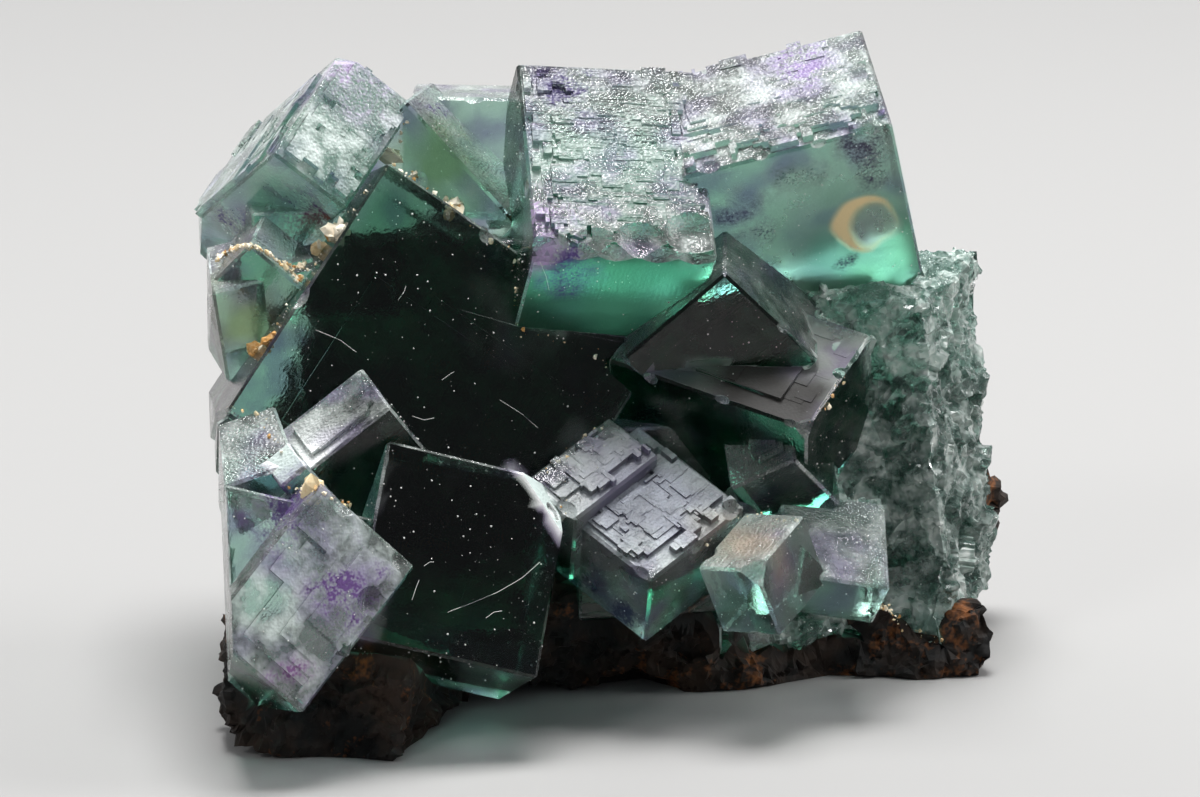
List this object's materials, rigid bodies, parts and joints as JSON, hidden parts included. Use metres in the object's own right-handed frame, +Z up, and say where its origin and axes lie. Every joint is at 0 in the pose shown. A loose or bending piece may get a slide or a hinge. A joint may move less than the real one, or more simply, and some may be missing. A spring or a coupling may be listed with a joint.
{
  "type": "fluorite specimen",
  "caption": "Small fluorite specimen: green to violet cube crystals grown together on a crust of dark, rust-stained rock, which stands on its flat underside.",
  "frame": {"origin": "middle of the footprint, on the surface that the rock stands on", "axes": "+X to the viewer's right along the longest side, +Y away from the viewer, +Z up"},
  "size_m": [0.042, 0.034, 0.0326],
  "materials": {
    "fluorite": "natural crystal faces, partly etched",
    "rock": "rough natural fracture with iron stains"
  },
  "bodies": {
    "root": {"fluorite_crystals": "fluorite", "host_rock": "rock"}
  },
  "joints": []
}
